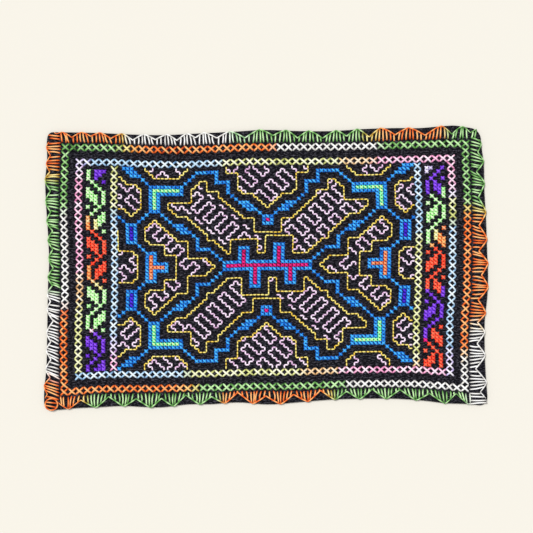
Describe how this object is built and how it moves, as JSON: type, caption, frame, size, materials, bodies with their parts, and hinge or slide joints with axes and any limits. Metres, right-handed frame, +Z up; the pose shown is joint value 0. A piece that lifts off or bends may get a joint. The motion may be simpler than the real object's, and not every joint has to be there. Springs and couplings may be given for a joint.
{
  "type": "altar cloth",
  "caption": "Rectangular altar cloth laid flat: black cotton with a turned hem, raised cross-stitched bands and figures, and uneven edges",
  "frame": {"origin": "On the surface that the cloth lies on, under the middle of its box", "axes": "+X along the long side to the picture's right, +Y to the picture's top edge, +Z up out of the embroidered face"},
  "size_m": [0.3552, 0.2272, 0.0022],
  "materials": {
    "ground_cotton": "matt black even-weave cotton",
    "bright_thread": "soft stranded embroidery cotton in bright colours",
    "border_thread": "space-dyed pearl cotton with a soft sheen"
  },
  "bodies": {
    "root": {"ground_cloth": "ground_cotton"}
  },
  "joints": []
}
